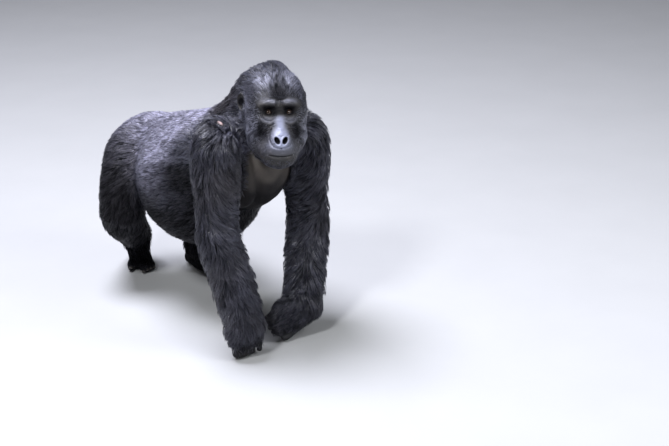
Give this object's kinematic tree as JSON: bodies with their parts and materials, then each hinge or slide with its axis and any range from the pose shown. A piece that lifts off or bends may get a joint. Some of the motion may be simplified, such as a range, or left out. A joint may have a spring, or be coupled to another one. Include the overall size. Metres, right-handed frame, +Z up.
{
  "type": "gorilla",
  "caption": "Life-size adult male gorilla in a knuckle-walking stance, with the head turned to its right; a still, solid model.",
  "frame": {"origin": "on the ground, under the middle of the animal's bounding box", "axes": "+Z up, -Y the way the animal walks, +X the animal's own left"},
  "size_m": [0.6568, 1.321, 1.1192],
  "materials": {
    "coat": "matt fur",
    "saddle_coat": "matt silver-grey fur",
    "bare_skin": "satin wrinkled skin",
    "eye": "wet gloss"
  },
  "bodies": {
    "root": {"trunk": "saddle_coat", "neck": "coat", "head": "coat", "eye_right": "eye", "eye_left": "eye", "ear_right": "bare_skin", "ear_left": "bare_skin", "upper_arm_right": "coat", "forearm_right": "coat", "hand_right": "bare_skin", "thigh_right": "coat", "shank_right": "coat", "foot_right": "bare_skin", "upper_arm_left": "coat", "forearm_left": "coat", "hand_left": "bare_skin", "thigh_left": "coat", "shank_left": "coat", "foot_left": "bare_skin"}
  },
  "joints": []
}
